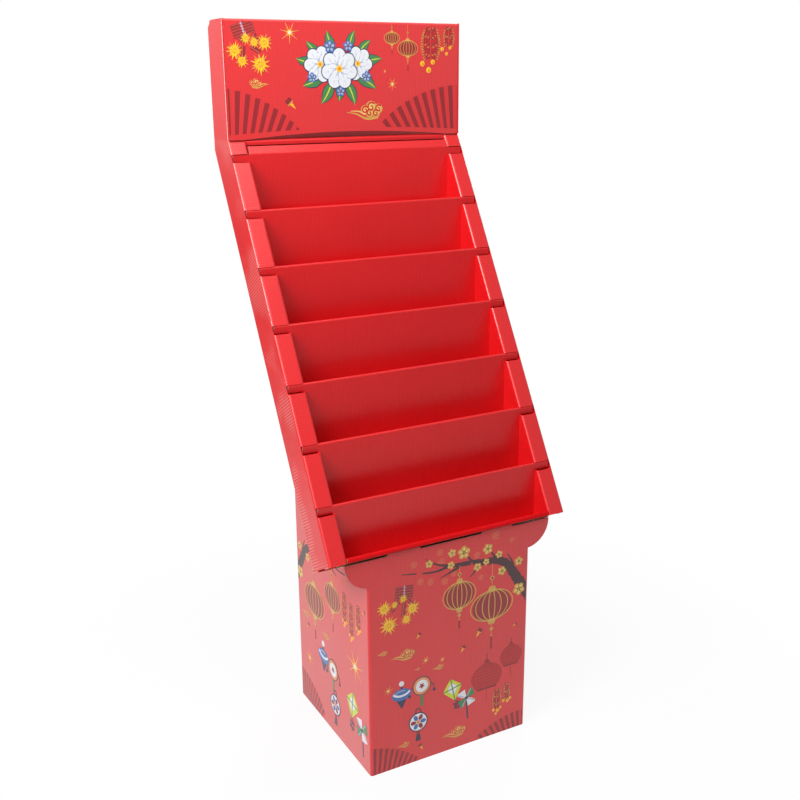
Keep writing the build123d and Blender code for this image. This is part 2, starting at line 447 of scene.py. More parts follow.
def build_wear(name):
    """A worn line along a fold. Held is the share of it where the film has held."""
    graph, given, put = shared_group(
        name, {"Vector": "vector", "Distance": "value", "Width": "value", "Held": "value"},
        {"Mask": "value"},
    )
    ragged = graph.noise(given["Vector"], RAGGED, 3.0)
    whole = graph.noise(given["Vector"], WHOLE)
    reach = graph.maths("MULTIPLY", given["Width"], graph.maths("ADD", graph.centred(ragged, 0.9), 0.5))
    near, lost = graph.below(given["Distance"], reach), graph.above(whole, given["Held"])
    graph.feed(put["Mask"], graph.both(near, lost))
    return graph.tree


def filmed(graph, ink):
    """An ink under the film, and the flutes that show through it: the outputs of both groups."""
    finish = bpy.context.scene.stand_finish
    flutes = graph.group(
        once("Flutes", build_flutes), Vector=graph.place, Across=graph.across, Pitch=finish.flute_pitch
    ).outputs
    film = graph.group(
        once("Film", build_film), Vector=graph.place, Ink=ink, Mottle=finish.mottle,
        Gloss=finish.film_roughness, Ribs=flutes["Ribs"],
    ).outputs
    return film, flutes


def board_material(
    name, across, edge=None, inside=None, wear=None, painted_streak=None, shadow=None, paper="kraft", hollows=None,
    painted_shade=0.0, veil=0.0, index=None,
):
    """Red film on corrugated board.

    edge, inside, wear, painted_streak and shadow make the masks of cut edges, unprinted faces, worn film,
    flutes with a painted highlight and film with painted shade. hollows shades cut edges, painted_shade
    darkens unprinted faces with painted shade, veil is the film's bloom and index its refractive index.
    """
    finish = bpy.context.scene.stand_finish
    graph = Surface(name, across)
    film, flutes = filmed(graph, finish.red)
    colour, roughness = film["Color"], film["Roughness"]
    # Painted highlight: pale liner blended into the film along the crests of the flutes, in patches.
    if painted_streak:
        lit = graph.both(flutes["Streak"], painted_streak(graph))
        colour = graph.blend(graph.maths("MULTIPLY", lit, finish.painted_streak), colour, tuple(finish.liner))
    # Painted shade: the film on the strip under the header's arch is blended towards black.
    if shadow:
        deep = graph.maths("MULTIPLY", shadow(graph), finish.under_shade)
        colour = graph.blend(deep, colour, (0.0, 0.0, 0.0))
    for mask_of, shade_of in ((inside, None), (edge, hollows or flute_hollows)):
        if mask_of:
            mask = mask_of(graph)
            # Unprinted faces are darkened by painted shade, by the share set for the material.
            raw = graph.group(
                once("RawBoard", build_raw_board), Vector=graph.place, Paper=getattr(finish, paper),
                Hollow=shade_of(graph) if shade_of else painted_shade,
            ).outputs["Color"]
            colour = graph.blend(mask, colour, raw)
            roughness = graph.blend(mask, roughness, RAW_ROUGHNESS)
    if wear:
        mask = wear(graph)
        colour = graph.blend(mask, colour, tuple(finish.liner))
        roughness = graph.blend(mask, roughness, WORN_ROUGHNESS)
    finish_surface(graph, colour, roughness, flutes["Height"], veil, index or finish.film_index)
    return graph.material


def flute_hollows(graph):
    """Shadow between the flutes of a cut edge."""
    pitch = bpy.context.scene.stand_finish.flute_pitch
    count = graph.maths("DIVIDE", graph.dot(graph.place, graph.across), pitch)
    wave = graph.maths("SINE", graph.maths("MULTIPLY", count, math.tau))
    return graph.maths("MULTIPLY", graph.above(wave, FLUTE_GAP), FLUTE_DARK)


def lip_hollows(graph):
    """Shadow behind the front ply, at the ends of any of the lips."""
    front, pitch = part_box(SHELVES[-1])[0].y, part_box(SHELVES[0])[0].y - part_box(SHELVES[1])[0].y
    behind = graph.maths("FLOORED_MODULO", graph.maths("SUBTRACT", graph.spots["Y"], front), pitch)
    return graph.maths("MULTIPLY", graph.above(behind, LIP_PLY * BOARD), LIP_DARK)


def finish_surface(graph, colour, roughness, height, veil, index):
    """The shader of a filmed or bare board surface."""
    bump = graph.node("ShaderNodeBump")
    graph.feed(bump.inputs["Strength"], 1.0)
    graph.feed(bump.inputs["Distance"], bpy.context.scene.stand_finish.flute_depth)
    graph.feed(bump.inputs["Height"], height)
    shader = graph.node("ShaderNodeBsdfPrincipled")
    graph.feed(shader.inputs["Base Color"], colour)
    graph.feed(shader.inputs["Roughness"], roughness)
    graph.feed(shader.inputs["Normal"], bump.outputs["Normal"])
    shader.inputs["IOR"].default_value = index
    shader.inputs["Sheen Weight"].default_value = veil
    output = graph.node("ShaderNodeOutputMaterial")
    graph.feed(output.inputs["Surface"], shader.outputs["BSDF"])


def ink_material(ink):
    """An ink of the print, under the same film as the board round it."""
    name = f"ink_{ink}"
    if name in bpy.data.materials:
        return bpy.data.materials[name]
    finish, inks = bpy.context.scene.stand_finish, bpy.context.scene.stand_inks
    graph = Surface(name)
    film, flutes = filmed(graph, getattr(inks, ink))
    veil, index = INK_VEIL * finish.veil, finish.film_index
    finish_surface(graph, film["Color"], film["Roughness"], flutes["Height"], veil, index)
    return graph.material


def dress(node, material):
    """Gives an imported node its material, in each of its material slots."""
    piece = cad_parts[node]
    if not piece.material_slots:
        raise RuntimeError(f"{node} has no material slot")
    for held in piece.material_slots:
        held.material = material


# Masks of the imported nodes, each made in a material's graph.


def end_faces(graph):
    """The cut ends of a piece that lies across the tray."""
    return graph.above(graph.size(graph.turns["X"]), SQUARE_ON)


def base_edges(graph):
    """The slanted seat, the ears' rims, the ear openings and the front's top edge."""
    turns = graph.turns
    beside, along = graph.size(graph.spots["X"]), graph.size(graph.spots["Y"])
    sides = graph.both(
        graph.above(beside, BASE_HALF - BOARD - HAIR),
        graph.below(along, BASE_HI.y - BOARD),
        graph.below(graph.size(turns["X"]), ASLANT),
    )
    rims = graph.both(graph.above(beside, BASE_HALF + HAIR), graph.below(graph.size(turns["Y"]), ASLANT))
    tops = graph.both(graph.above(along, BASE_HI.y - BOARD - HAIR), graph.above(turns["Z"], ASLANT))
    return graph.either(sides, rims, tops)


def base_inside(graph):
    """The unprinted face of the base's sheet, the backs of its ears too."""
    beside, along = graph.size(graph.spots["X"]), graph.size(graph.spots["Y"])
    wide = graph.above(along, BASE_HI.y - BOARD / 2)
    deep = graph.both(graph.above(beside, BASE_HALF - BOARD / 2), graph.below(beside, BASE_HALF + HAIR))
    return graph.maths("SUBTRACT", 1.0, graph.either(wide, deep))


def tray_edges(graph):
    """The tray's lower ends, and the upper rims of the sides that stand beside the header."""
    ends = graph.above(graph.size(graph.dot(graph.facing, UP_SLOPE)), DEAD_ON)
    high = graph.above(graph.spots["Z"], HEADER_HI.z - RIM_DROP)
    return graph.either(ends, graph.both(high, graph.above(graph.turns["Z"], ASLANT)))


def tray_inside(graph):
    """The unprinted face of the sheet round the inside of the header."""
    spots = graph.spots
    return graph.both(
        graph.above(spots["Z"], HEADER_LO.z),
        graph.above(spots["Y"], HEADER_LO.y + HAIR),
        graph.below(spots["Y"], HEADER_HI.y),
        graph.below(graph.size(spots["X"]), TRAY_HI.x - BOARD / 2),
    )


def tray_sides(graph):
    """The tray's two outer sides, below the header, where the flutes get a painted highlight."""
    outer = graph.above(graph.size(graph.spots["X"]), TRAY_HI.x - HAIR)
    return graph.both(outer, graph.below(graph.spots["Z"], HEADER_LO.z))


def tray_underside(graph):
    """The unprinted underside of the tray's floor, but not the round of its fold."""
    return graph.above(graph.dot(graph.facing, tuple(-UP_SLOPE)), FLAT_ON)


def worn_line(graph, distance, width, held):
    """Film worn off along a line."""
    return graph.group(
        once("Wear", build_wear), Vector=graph.place, Distance=distance, Width=width, Held=held
    ).outputs["Mask"]


def tray_wear(graph):
    """Worn film down two folds that face left, most of it high up, and on the rim beside the header."""
    spots, width = graph.spots, bpy.context.scene.stand_finish.wear_width
    depth = graph.maths("SUBTRACT", graph.dot(graph.place, OUT_BACK), TRAY_TOE.dot(OUT_BACK))
    held = graph.maths("SUBTRACT", WEAR_HEIGHT, spots["Z"])
    worn = []
    for fold in (TRAY_LO.x, TRAY_HI.x - COLUMN_WIDTH):
        away = graph.maths("SUBTRACT", spots["X"], fold)
        aside = graph.maths("DIVIDE", graph.size(graph.maths("SUBTRACT", away, depth)), math.sqrt(2.0))
        near = graph.below(graph.size(depth), FOLD)
        below = graph.below(spots["Z"], HEADER_LO.z)
        worn.append(graph.both(worn_line(graph, aside, width, held), near, below))
    rim = worn_line(graph, graph.maths("SUBTRACT", spots["X"], TRAY_LO.x), RIM_WEAR * width, RIM_HELD)
    front = graph.below(graph.turns["Y"], -DEAD_ON)
    return graph.either(*worn, graph.both(rim, graph.above(spots["Z"], HEADER_LO.z), front))


def header_floor_inside(graph):
    """The unprinted upper face of the header's floor."""
    up = graph.above(graph.turns["Z"], SQUARE_ON)
    return graph.both(up, graph.above(graph.spots["Y"], HEADER_LO.y + 3 * BOARD))


def header_edges(graph):
    """The header card's cut ends and lower edges."""
    down = graph.below(graph.turns["Z"], -LOW_EDGE)
    low = graph.both(down, graph.below(graph.spots["Z"], HEADER_LO.z + BOARD))
    return graph.either(end_faces(graph), low)


def header_under(graph):
    """The strip that is turned in along the header's arch, which faces forwards and down."""
    return graph.both(*(graph.below(graph.turns[axis], -ARCH_UNDER) for axis in "ZY"))


def header_inside(graph):
    """The unprinted faces inside the header."""
    spots, turns = graph.spots, graph.turns
    middle = (HEADER_LO.y + HEADER_HI.y) / 2
    front = graph.both(graph.above(turns["Y"], SQUARE_ON), graph.below(spots["Y"], middle))
    flap = graph.both(graph.below(turns["Y"], -SQUARE_ON), graph.above(spots["Y"], middle))
    high = graph.above(spots["Z"], HEADER_HI.z - 2 * BOARD)
    return graph.either(front, flap, graph.both(graph.below(turns["Z"], -SQUARE_ON), high))


# Drawing. Shapes are laid flat, in millimetres across and up a panel.


def spot(across, up, turn=0.0, wide=1.0, high=None):
    """Where a unit shape goes: its middle, its turn in degrees, and its half sizes."""
    size = Matrix.Diagonal((wide, wide if high is None else high, 1.0, 1.0))
    return Matrix.Translation((across, up, 0.0)) @ Matrix.Rotation(math.radians(turn), 4, "Z") @ size


def polar(across, up, degrees, reach, reach_up=None):
    """The point at that angle and reach from a middle."""
    angle = math.radians(degrees)
    rise = reach if reach_up is None else reach_up
    return Vector((across + reach * math.cos(angle), up + rise * math.sin(angle), 0.0))


def arc(across, up, wide, high, start, end, steps=16):
    """Points along an elliptic arc, by angles in degrees."""
    span = end - start
    return [polar(across, up, start + span * step / steps, wide, high) for step in range(steps + 1)]


def spiral(across, up, outer, inner, start, turns, steps=18):
    """Points that wind in from an outer to an inner reach."""
    return [
        polar(across, up, start + 360.0 * turns * step / steps, outer + (inner - outer) * step / steps)
        for step in range(steps + 1)
    ]


def curve(points, steps=6):
    """A smooth line through a few points."""
    knots = [Vector((*point, 0.0)) for point in points]
    through = [knots[0]]
    for place in range(len(knots) - 1):
        before, here = knots[max(place - 1, 0)], knots[place]
        there, after = knots[place + 1], knots[min(place + 2, len(knots) - 1)]
        lead, trail = here + (there - before) / 6, there - (after - here) / 6
        through += interpolate_bezier(here, lead, trail, there, steps + 1)[1:]
    return through


class Pen:
    """Lays flat shapes of ink, each with a layer that says what covers what."""

    def __init__(self):
        self.shapes = bmesh.new()
        self.inks = []
        self.counts = {}

    def colour(self, verts, ink, layer):
        """Gives the faces of new vertices an ink and a layer, and keeps like shapes off each other."""
        if ink not in self.inks:
            self.inks.append(ink)
        turn = self.counts[layer] = self.counts.get(layer, 0) + 1
        step = bpy.context.scene.stand_inks.layer_step / MM
        lift = step * (layer + 0.5 + LIKE_STEP * (turn % LIKE_STEPS))
        bmesh.ops.translate(self.shapes, vec=(0.0, 0.0, lift), verts=verts)
        for face in {face for vert in verts for face in vert.link_faces}:
            face.material_index = self.inks.index(ink)

    def disc(self, ink, layer, place, segments=20):
        made = bmesh.ops.create_circle(
            self.shapes, cap_ends=True, segments=segments, radius=1.0, matrix=place
        )["verts"]
        self.colour(made, ink, layer)

    def star(self, ink, layer, place, points, waist):
        made = bmesh.ops.create_circle(self.shapes, cap_ends=True, segments=2 * points, radius=1.0)["verts"]
        bmesh.ops.scale(self.shapes, vec=(waist, waist, 1.0), verts=made[::2])
        bmesh.ops.transform(self.shapes, matrix=place, verts=made)
        self.colour(made, ink, layer)

    def ribbon(self, ink, layer, sides):
        """Ink between two lines, given as pairs of points."""
        pair = [self.shapes.verts.new(point) for point in sides[0]]
        edge = self.shapes.edges.new(pair)
        made = list(pair)
        for ends in sides[1:]:
            grown = bmesh.ops.extrude_edge_only(self.shapes, edges=[edge])["geom"]
            fresh = [part for part in grown if isinstance(part, bmesh.types.BMVert)]
            fresh.sort(key=lambda vert: (vert.co - pair[0].co).length)
            edge, pair = self.shapes.edges.get(fresh), fresh
            for vert, point in zip(pair, ends):
                vert.co = point
            made += pair
        self.colour(made, ink, layer)

    def stroke(self, ink, layer, points, width, end_width=None):
        """A line of ink of even or tapering width. width may also be a list, one to each point."""
        last = len(points) - 1
        if not isinstance(width, list):
            end = width if end_width is None else end_width
            width = [width + (end - width) * step / last for step in range(last + 1)]
        sides = []
        for step, point in enumerate(points):
            ahead = points[min(step + 1, last)] - points[max(step - 1, 0)]
            aside = Vector((-ahead.y, ahead.x, 0.0)).normalized() * width[step] / 2
            sides.append((point - aside, point + aside))
        self.ribbon(ink, layer, sides)

    def trim(self, low, high):
        """Cuts off what lies outside a panel, given by two of its corners."""
        for corner, sign in ((low, -1.0), (high, 1.0)):
            for outward in ((sign, 0.0, 0.0), (0.0, sign, 0.0)):
                parts = [*self.shapes.verts, *self.shapes.edges, *self.shapes.faces]
                bmesh.ops.bisect_plane(
                    self.shapes, geom=parts, dist=0.001, plane_co=(*corner, 0.0), plane_no=outward,
                    clear_outer=True,
                )

    def finish(self, name, panel, mirrored=False):
        """Puts the print on its panel as a piece of its own."""
        if mirrored:
            bmesh.ops.scale(self.shapes, vec=(-1.0, 1.0, 1.0), verts=self.shapes.verts)
        self.shapes.normal_update()
        turned = [face for face in self.shapes.faces if face.normal.z < 0.0]
        bmesh.ops.reverse_faces(self.shapes, faces=turned)
        bmesh.ops.transform(self.shapes, matrix=panel, verts=self.shapes.verts)
        mesh = bpy.data.meshes.new(name)
        self.shapes.to_mesh(mesh)
        self.shapes.free()
        for ink in self.inks:
            mesh.materials.append(ink_material(ink))
        piece = bpy.data.objects.new(name, mesh)
        bpy.context.scene.collection.objects.link(piece)
        body = piece.modifiers.new("Ink body", "SOLIDIFY")
        body.thickness = bpy.context.scene.stand_inks.thickness
        body.offset = -1.0
        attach(piece, "root")
        return piece


def panel_place(origin, across):
    """The matrix that lays a flat print on an upright panel: millimetres across, up and out of it."""
    up = Vector((0.0, 0.0, 1.0))
    turn = Matrix((across, up, across.cross(up))).transposed().to_4x4()
    return Matrix.Translation(origin) @ turn @ Matrix.Scale(MM, 4)


# Motifs.


def line(*points):
    """A straight or cornered line."""
    return [Vector((*point, 0.0)) for point in points]


class Stamp:
    """A pen held over one motif: places, sizes and widths are shares of the motif's own size."""

    def __init__(self, pen, across, up, size, turn=0.0):
        self.pen, self.size = pen, size
        self.place = spot(across, up, turn, size)

    def disc(self, ink, layer, middle, wide, high=None, turn=0.0, segments=20):
        self.pen.disc(ink, layer, self.place @ spot(middle[0], middle[1], turn, wide, high), segments)

    def star(self, ink, layer, middle, wide, points, waist, turn=0.0):
        self.pen.star(ink, layer, self.place @ spot(*middle, turn, wide), points, waist)

    def stroke(self, ink, layer, points, *widths):
        """A line of ink through the points. Two widths taper it, and more are one to each point."""
        through = [self.place @ Vector((point[0], point[1], 0.0)) for point in points]
        widths = [self.size * width for width in widths]
        self.pen.stroke(ink, layer, through, *(widths if len(widths) < 3 else [widths]))


def blossom(pen, across, up, size, layer=4, petal="gold", light="pale_gold", heart="bark", turn=90.0):
    """Five round petals, lighter towards the heart, with a ring of stamens."""
    flower = Stamp(pen, across, up, size)
    for step in range(5):
        angle = turn + 72.0 * step
        flower.disc(petal, layer, polar(0, 0, angle, 0.56), 0.45, 0.41, angle, 14)
        flower.disc(light, layer + 1, polar(0, 0, angle, 0.52), 0.27, 0.20, angle, 12)
    for step in range(5):
        stamen = [polar(0, 0, turn + 36.0 + 72.0 * step, reach) for reach in (0.1, 0.5)]
        flower.stroke(heart, layer + 2, stamen, 0.10, 0.05)
    flower.disc(heart, layer + 2, (0, 0), 0.2, segments=10)
    flower.disc(light, layer + 3, (0, 0), 0.1, segments=8)


def faded_blossom(pen, across, up, size, layer=1):
    """A blossom in one weak ink, with an open heart."""
    flower = Stamp(pen, across, up, size)
    for step in range(5):
        middle = polar(0, 0, 90.0 + 72.0 * step, 0.56)
        flower.stroke("faded_gold", layer, arc(*middle.xy, 0.36, 0.36, 0.0, 360.0, 10), 0.26)
    flower.disc("faded_gold", layer, (0, 0), 0.2, segments=8)


def lantern(pen, across, up, wide, high, hook, toe, layer=3):
    """A round lantern with gold ribs, on a string with a charm, with beads and a tassel below."""
    fine = max(0.062 * high, 1.2)
    pen.stroke("gold", layer, line((across, hook), (across, up + high)), 0.5 * fine)
    charm = up + high + 0.46 * (hook - up - high)
    pen.disc("gold", layer + 1, spot(across, charm, 0.0, 0.18 * high), 4)
    pen.disc("maroon", layer + 2, spot(across, charm, 0.0, 0.10 * high), 4)
    pen.disc("maroon", layer, spot(across, up, 0.0, 0.90 * wide, high), 36)
    for share in (1.0, 0.76, 0.45, 0.15):
        pen.stroke("gold", layer + 1, arc(across, up, share * wide, high, 0.0, 360.0, 36), fine)
    for sign in (1, -1):
        rim = up + sign * high
        cap = line((across, rim - 0.12 * sign * high), (across, rim + 0.26 * sign * high))
        pen.stroke("gold", layer + 2, cap, 0.46 * wide, 0.26 * wide)
        glint = line((across - 0.16 * wide, rim), (across + 0.16 * wide, rim))
        pen.stroke("pale_gold", layer + 3, glint, 0.5 * fine)
    drop = up - 1.2 * high - toe
    pen.stroke("gold", layer, line((across, up - high), (across, toe + 0.5 * drop)), 0.5 * fine)
    pen.disc("gold", layer + 1, spot(across, toe + 0.78 * drop, 0.0, 0.15 * high), 4)
    pen.disc("gold", layer + 1, spot(across, toe + 0.52 * drop, 0.0, 0.06 * high), 10)
    tassel = line((across, toe + 0.48 * drop), (across, toe))
    pen.stroke("maroon", layer + 1, tassel, 1.4 * fine, 2.2 * fine)


def striped_lantern(pen, across, up, wide, high, toe, layer=1):
    """A dark lantern further back, banded across, with a small cap, a flat foot and a tassel."""
    outline = curve([
        (0.08, 1.0), (0.24, 0.80), (0.66, 0.54), (0.96, 0.14), (1.0, -0.30), (0.86, -0.70), (0.62, -1.0)
    ], 4)

    def side_points(level):
        return [Vector((across + sign * wide * level.x, up + high * level.y, 0.0)) for sign in (-1, 1)]

    pen.ribbon("shade", layer, [side_points(level) for level in outline])
    for level in outline[1::2]:
        pen.stroke("fan_stripe", layer + 1, side_points(level), 0.05 * high)
    cap = line((across, up + 0.90 * high), (across, up + 1.06 * high))
    pen.stroke("fan_stripe", layer + 2, cap, 0.34 * wide, 0.22 * wide)
    pen.stroke("fan_stripe", layer + 2, line((across, up + high), (across, up + 1.5 * high)), 1.6)
    foot = line((across, up - 0.94 * high), (across, up - 1.08 * high))
    pen.stroke("fan_stripe", layer + 2, foot, 1.36 * wide, 1.20 * wide)
    pen.stroke("shade", layer, line((across, up - high), (across, toe)), 1.8, 4.0)


def cloud(pen, across, up, wide, layer=3, facing=1):
    """A gold cloud of curls, with a tail that trails to one side."""
    puff = Stamp(pen, across, up, wide)
    curls = (
        (0.00, 0.00, 0.12), (0.17, 0.07, 0.15), (0.37, 0.03, 0.12), (0.12, -0.07, 0.11), (0.30, -0.08, 0.11)
    )
    for shift, lift, size in curls:
        aside = facing * shift
        puff.disc("gold", layer, (aside, lift), size, segments=16)
        puff.disc("pale_gold", layer + 1, (aside, lift + 0.2 * size), 0.7 * size, segments=14)
        winding = spiral(aside, lift, 0.80 * size, 0.12 * size, 40.0, 1.25)
        puff.stroke("red_line", layer + 2, winding, 0.045, 0.03)
    tail = ((-0.5, -0.05), (-0.25, -0.09), (0.05, -0.21), (0.36, -0.17))
    upper = ((-0.40, -0.02), (-0.18, -0.03), (0.0, -0.10))
    for ink, level, points, widths in (
        ("gold", layer, tail, (0.014, 0.075)), ("pale_gold", layer + 1, upper, (0.012, 0.05))
    ):
        puff.stroke(ink, level, curve([(facing * x, y) for x, y in points]), *widths)


def burst(pen, across, up, size, layer, turn):
    """A cracker going off: a shock of uneven rays round a ring of dark specks."""
    shock, rays = Stamp(pen, across, up, size), 28
    for step in range(rays):
        heading = turn + 360.0 * step / rays + 5.0 * math.sin(3.7 * step)
        reach = 0.98 + 0.26 * math.sin(2.3 * step + turn)
        ray = [polar(0, 0, heading, share * reach) for share in (0.3, 0.7, 1.0)]
        shock.stroke(("flame", "ember", "flame", "gold")[step % 4], layer, ray, 0.22, 0.13, 0.01)
    shock.star("flame", layer + 1, (0, 0), 0.66, 13, 0.78, turn)
    for step in range(9):
        heading = turn + 40.0 * step
        speck = polar(0, 0, heading, 0.34 + 0.07 * math.sin(5.0 * step))
        shock.disc("ember", layer + 2, speck, 0.12, 0.05, heading, 6)
        shock.disc("maroon", layer + 2, polar(0, 0, heading + 20.0, 0.20), 0.06, 0.03, heading, 5)


def sparkle(pen, across, up, size, layer=4):
    """Thin rays of two lengths round a bright point."""
    spark = Stamp(pen, across, up, size)
    for step in range(14):
        ink, reach = ("ember", 0.62) if step % 2 else ("pale_gold", 1.0)
        ray = [polar(0, 0, 12.0 + 360.0 / 14 * step, share * reach) for share in (0.2, 1.0)]
        spark.stroke(ink, layer, ray, 0.06, 0.015)
    spark.star("flame", layer + 1, (0, 0), 0.32, 9, 0.6)
    spark.disc("pale_gold", layer + 2, (0, 0), 0.21, segments=12)
    spark.disc("white", layer + 3, (0, 0), 0.12, segments=10)


def tube(pen, start, end, width, layer):
    """A paper cracker tube with a dark outline and a light edge."""
    ends = line(start, end)
    pen.stroke("bark", layer, ends, 1.25 * width)
    pen.stroke("maroon", layer + 1, ends, width)
    aside = (ends[1] - ends[0]).normalized().cross(Vector((0.0, 0.0, 1.0))) * 0.22 * width
    pen.stroke("faded_gold", layer + 2, [point + aside for point in ends], 0.2 * width)


def cracker_rack(pen, across, up, wide, high, turn, layer=2):
    """A raft of cracker tubes, sewn down the middle."""
    place = spot(across, up, turn)
    rows = 5
    for row in range(rows):
        level = high * ((row + 0.5) / rows - 0.5)
        for sign in (1, -1):
            ends = [place @ Vector((share * wide * sign, level, 0.0)) for share in (0.06, 0.5)]
            tube(pen, ends[0].xy, ends[1].xy, 0.66 * high / rows, layer)
        knot = place @ Vector((0.0, level, 0.0))
        pen.star("mist", layer + 3, spot(knot.x, knot.y, turn + 45.0, 0.075 * wide), 4, 0.4)
    seam = [(place @ Vector((0.0, high * share, 0.0))) for share in (-0.56, 0.56)]
    pen.stroke("mist", layer + 2, seam, 0.02 * wide)


def cracker_string(pen, across, top, bottom, wide, coins, layer=3):
    """Small cracker tubes tied thickly down a string, gold at their outer ends, with coins below."""
    rows = max(int((top - bottom) / 5.0), 6)
    drop = (top - bottom) / rows
    heart = line((across, top), (across, (top + bottom) / 2), (across, bottom))
    pen.stroke("shade", layer - 1, heart, [0.5 * wide, 0.9 * wide, 0.5 * wide])
    for row in range(rows):
        fullness = 0.70 + 0.30 * math.sin(math.pi * (row + 0.5) / rows)
        for column, (inner, outer) in enumerate(((0.04, 0.20), (0.20, 0.36), (0.34, 0.60))):
            level = top - drop * (row + 0.3 * column)
            near, far = inner * wide * fullness, outer * wide * fullness
            for sign in (-1, 1):
                high = level + 0.25 * drop * math.sin(5.3 * row + 3.0 * column + sign)
                tilt = line((across + sign * near, high), (across + sign * far, high - drop))
                ink = "maroon" if (row + column) % 3 else "shade"
                pen.stroke(ink, layer, tilt, 0.62 * drop, 0.50 * drop)
                if column == 2 or (row + column) % 4 == 0:
                    pen.stroke("gold", layer + 1, [tilt[0].lerp(tilt[1], 0.4), tilt[1]], 0.34 * drop)
    pen.stroke("faded_gold", layer + 2, line((across, top), (across, bottom - 0.5 * drop)), 0.8)
    for shift, fall, size in coins:
        coin = Stamp(pen, across + shift, bottom - fall, size)
        coin.disc("flame", layer + 1, (0, 0), 1.0, segments=14)
        coin.disc("ember", layer + 2, (0.2, -0.2), 0.5, segments=8)


def squib(pen, across, up, size, turn, layer=3):
    """A loose cracker with a banded body and a lit end."""
    body = Stamp(pen, across, up, size, turn)
    for ink, level, start, end, *widths in (
        ("bark", layer, -0.5, 0.05, 0.62), ("maroon", layer + 1, -0.46, 0.0, 0.48),
        ("gold", layer + 2, -0.06, 0.06, 0.66), ("ember", layer + 1, 0.05, 0.75, 0.40, 0.1),
        ("flame", layer + 2, 0.12, 0.6, 0.2, 0.08),
    ):
        body.stroke(ink, level, ((start, 0), (end, 0)), *widths)


def fan(pen, across, up, side, reach, end_reach, spread, stripes, rest, phase, layer=0):
    """The folds of a paper fan that rises from a lower corner. side is 1 where it leans to the right.

    rest gives the height of the folds' lower ends at a place across, and phase shifts the dark folds.
    """
    period = spread / stripes

    def ends(turn, far):
        heading = math.radians(90.0 - side * turn)
        near = (rest(across) - up) / math.sin(heading)
        near = (rest(across + near * math.cos(heading)) - up) / math.sin(heading)
        return [polar(across, up, 90.0 - side * turn, share) for share in (near, max(far, near))]

    def fold(first, last, ink, level):
        first, last = max(first, 0.0), min(last, spread)
        far = reach + (end_reach - reach) * (first + last) / 2 / spread
        pen.ribbon(ink, level, list(zip(ends(first, far), ends(last, far))))

    for stripe in range(stripes + 1):
        start = (stripe - phase) * period
        if start < spread:
            fold(start, start + 1.02 * period, "fan_field", layer)
            fold(start, start + 0.5 * period, "fan_stripe", layer + 1)


def spinning_top(pen, across, up, size, layer=4):
    """A wooden top: a stem with a knob, a banded body and a point."""
    top = Stamp(pen, across, up, size)
    top.stroke("navy", layer, ((0, 0.2), (0, 0.62)), 0.1)
    top.disc("white", layer + 1, (0, 0.62), 0.13, segments=14)
    top.stroke("navy", layer, ((0, -0.1), (0, -0.62)), 0.62, 0.06)
    top.disc("blue", layer + 1, (0, 0.06), 0.5, 0.3, segments=28)
    top.stroke("white", layer + 2, arc(0, 0.3, 0.46, 0.3, 205.0, 335.0, 14), 0.1)
    top.stroke("mist", layer + 2, arc(0, 0.06, 0.36, 0.2, 60.0, 150.0, 8), 0.05)


def rattle_drum(pen, across, up, size, layer=4):
    """A twist drum: a round skin in a rim, a grip, and beads on two strings."""
    drum = Stamp(pen, across, up, size)
    drum.stroke("green", layer, ((0, 0), (0, -0.8)), 0.16, 0.12)
    drum.disc("navy", layer + 1, (0, 0.2), 0.46, segments=24)
    drum.disc("orange", layer + 2, (0, 0.2), 0.42, segments=24)
    drum.disc("white", layer + 3, (0, 0.2), 0.30, segments=22)
    drum.star("maroon", layer + 4, (0, 0.2), 0.16, 5, 0.5)
    for sign in (1, -1):
        cord = curve([(0.42 * sign, 0.22), (0.58 * sign, 0.12), (0.62 * sign, -0.14)])
        drum.stroke("navy", layer, cord, 0.035)
        drum.disc("navy", layer + 1, (0.62 * sign, -0.16), 0.08, segments=10)


def kite(pen, across, up, size, turn, layer=4):
    """A four-cornered kite with crossed sticks and a tail of bows."""
    sail = Stamp(pen, across, up, size, turn)
    sail.stroke("lime", layer, ((0, 0.6), (0, 0.12), (0, -0.5)), 0.0, 0.92, 0.0)
    sail.stroke("white", layer + 1, ((0, 0.42), (0, 0.12), (0, -0.22)), 0.0, 0.5, 0.0)
    sail.stroke("green", layer + 2, ((0, 0.6), (0, -0.5)), 0.05)
    sail.stroke("green", layer + 2, ((-0.45, 0.12), (0.45, 0.12)), 0.05)
    sail.stroke("navy", layer, curve([(0, -0.5), (0.12, -0.66), (-0.04, -0.8), (0.1, -0.98)]), 0.04)
    for level in (-0.66, -0.84):
        sail.stroke("navy", layer + 1, ((-0.1, level), (0.04, level), (0.2, level)), 0.14, 0.02, 0.14)


def pinwheel(pen, across, up, size, turn, layer=4):
    """Four folded blades on a stick."""
    wheel, hub = Stamp(pen, across, up, size), Vector((0.0, 0.2, 0.0))
    wheel.stroke("navy", layer, (hub, (0.08, -0.85)), 0.07)
    for step, ink in enumerate(("green", "white", "green", "white")):
        angle = turn + 90.0 * step
        tip, corner = polar(*hub.xy, angle, 0.56), polar(*hub.xy, angle + 42.0, 0.50)
        blade = (hub, hub.lerp(tip.lerp(corner, 0.4), 0.6), corner)
        wheel.stroke(ink, layer + 1, blade, 0.02, 0.40, 0.08)
        wheel.stroke("mist", layer + 2, (hub, hub.lerp(corner, 0.9)), 0.02, 0.06)
    wheel.disc("navy", layer + 3, hub, 0.08, segments=10)


